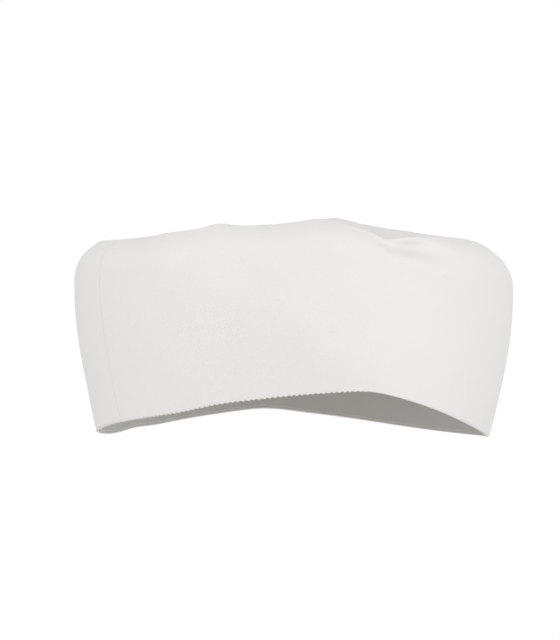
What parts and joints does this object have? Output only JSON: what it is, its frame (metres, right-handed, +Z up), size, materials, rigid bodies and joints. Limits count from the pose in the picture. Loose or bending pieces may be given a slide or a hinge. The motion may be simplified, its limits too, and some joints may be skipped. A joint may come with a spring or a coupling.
{
  "type": "low chef's cap",
  "caption": "Low white chef's cap: deep flared side band with a saddle-shaped stitched hem, rounded shoulder and a soft domed oval crown.",
  "frame": {"origin": "middle of the head opening, at the mean height of the hem, where the wearer's head holds the cap", "axes": "+Z up through the crown, -Y to the front of the cap, +X to the wearer's left"},
  "size_m": [0.2006, 0.2116, 0.0947],
  "materials": {
    "shell_cloth": "white polyester-cotton twill, matte",
    "sweatband_cloth": "white cotton twill tape, matte",
    "interlining": "off-white fused non-woven interlining",
    "thread": "white spun polyester sewing thread"
  },
  "bodies": {
    "root": {"crown_panel": "shell_cloth", "band_front_panel": "shell_cloth", "band_back_panel": "shell_cloth", "left_side_seam_allowance": "shell_cloth", "right_side_seam_allowance": "shell_cloth", "crown_seam_allowance": "shell_cloth", "sweatband": "sweatband_cloth", "front_stiffener": "interlining", "back_stiffener": "interlining", "hem_stitching_front": "thread", "hem_stitching_back": "thread", "crown_seam_overlock": "thread", "sweatband_overlock": "thread"}
  },
  "joints": []
}
